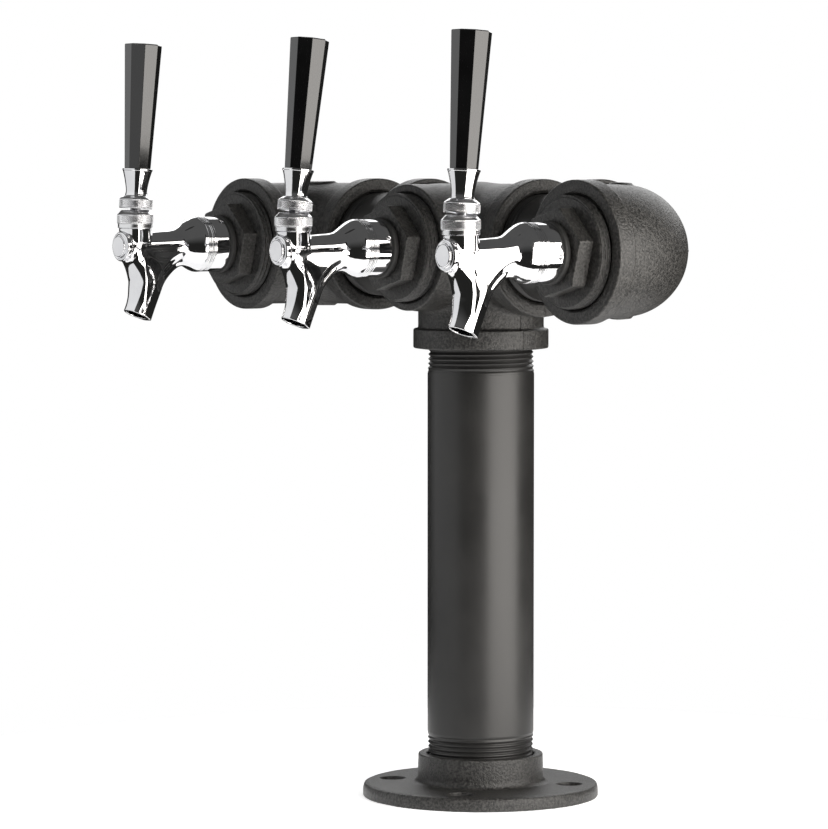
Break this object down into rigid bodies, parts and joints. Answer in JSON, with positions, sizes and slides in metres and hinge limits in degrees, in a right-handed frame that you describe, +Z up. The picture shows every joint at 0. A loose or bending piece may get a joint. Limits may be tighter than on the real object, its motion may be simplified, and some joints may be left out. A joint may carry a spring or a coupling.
{
  "type": "beer tap tower",
  "caption": "Black pipe-fitting draft tower on a round floor flange, with a cross arm of cast fittings and chrome lever faucets with black faceted knobs.",
  "frame": {"origin": "centre of the floor flange's underside, on the axis of the riser pipe", "axes": "+Z up along the riser; the faucets face -Y; the arms run along X, +X towards the right-hand faucet as seen from the front"},
  "size_m": [0.4656, 0.2555, 0.5174],
  "materials": {
    "cast_iron_black": "matte black paint over sand-cast grain",
    "pipe_black": "satin black",
    "chrome": "polished chrome plate",
    "steel": "plain turned steel",
    "brass": "plain turned brass",
    "knob_black": "glossy black moulded plastic",
    "rubber_black": "matte black rubber"
  },
  "bodies": {
    "tower": {"floor_flange": "cast_iron_black", "riser_pipe": "pipe_black", "side_outlet_tee": "cast_iron_black", "left_nipple": "pipe_black", "right_nipple": "pipe_black", "left_elbow": "cast_iron_black", "right_elbow": "cast_iron_black", "left_hex_bushing": "cast_iron_black", "left_shank": "chrome", "left_shank_washer": "rubber_black", "left_shank_nut": "steel", "left_tail_piece": "steel", "left_tail_nut": "steel", "left_coupling_nut": "chrome", "left_coupling_gasket": "rubber_black", "left_faucet_body": "chrome", "left_bonnet": "chrome", "left_friction_washer": "rubber_black", "centre_hex_bushing": "cast_iron_black", "centre_shank": "chrome", "centre_shank_washer": "rubber_black", "centre_shank_nut": "steel", "centre_tail_piece": "steel", "centre_tail_nut": "steel", "centre_coupling_nut": "chrome", "centre_coupling_gasket": "rubber_black", "centre_faucet_body": "chrome", "centre_bonnet": "chrome", "centre_friction_washer": "rubber_black", "right_hex_bushing": "cast_iron_black", "right_shank": "chrome", "right_shank_washer": "rubber_black", "right_shank_nut": "steel", "right_tail_piece": "steel", "right_tail_nut": "steel", "right_coupling_nut": "chrome", "right_coupling_gasket": "rubber_black", "right_faucet_body": "chrome", "right_bonnet": "chrome", "right_friction_washer": "rubber_black"},
    "left_lever_body": {"left_lever": "chrome", "left_lever_collar": "chrome", "left_ferrule": "chrome", "left_knob": "knob_black"},
    "left_shaft_body": {"left_shaft": "brass", "left_seat_washer": "rubber_black"},
    "centre_lever_body": {"centre_lever": "chrome", "centre_lever_collar": "chrome", "centre_ferrule": "chrome", "centre_knob": "knob_black"},
    "centre_shaft_body": {"centre_shaft": "brass", "centre_seat_washer": "rubber_black"},
    "right_lever_body": {"right_lever": "chrome", "right_lever_collar": "chrome", "right_ferrule": "chrome", "right_knob": "knob_black"},
    "right_shaft_body": {"right_shaft": "brass", "right_seat_washer": "rubber_black"}
  },
  "joints": [
    {"name": "left_lever_pull", "type": "hinge", "parent": "tower", "child": "left_lever_body", "pos_m": [-0.1865, -0.1602, 0.3948], "axis": [1, 0, 0], "range_deg": [0, 28.5]},
    {"name": "left_shaft_slide", "type": "slide", "parent": "tower", "child": "left_shaft_body", "axis": [0, 1, 0], "range_m": [0, 0.00856]},
    {"name": "centre_lever_pull", "type": "hinge", "parent": "tower", "child": "centre_lever_body", "pos_m": [0, -0.1567, 0.3948], "axis": [1, 0, 0], "range_deg": [0, 31.4]},
    {"name": "centre_shaft_slide", "type": "slide", "parent": "tower", "child": "centre_shaft_body", "axis": [0, 1, 0], "range_m": [0, 0.00945]},
    {"name": "right_lever_pull", "type": "hinge", "parent": "tower", "child": "right_lever_body", "pos_m": [0.1865, -0.1602, 0.3948], "axis": [1, 0, 0], "range_deg": [0, 29]},
    {"name": "right_shaft_slide", "type": "slide", "parent": "tower", "child": "right_shaft_body", "axis": [0, 1, 0], "range_m": [0, 0.00872]}
  ],
  "couplings": [
    {"joint": "left_shaft_slide", "follows": "left_lever_pull", "m_per_rad": 0.017016},
    {"joint": "centre_shaft_slide", "follows": "centre_lever_pull", "m_per_rad": 0.017055},
    {"joint": "right_shaft_slide", "follows": "right_lever_pull", "m_per_rad": 0.017024}
  ]
}
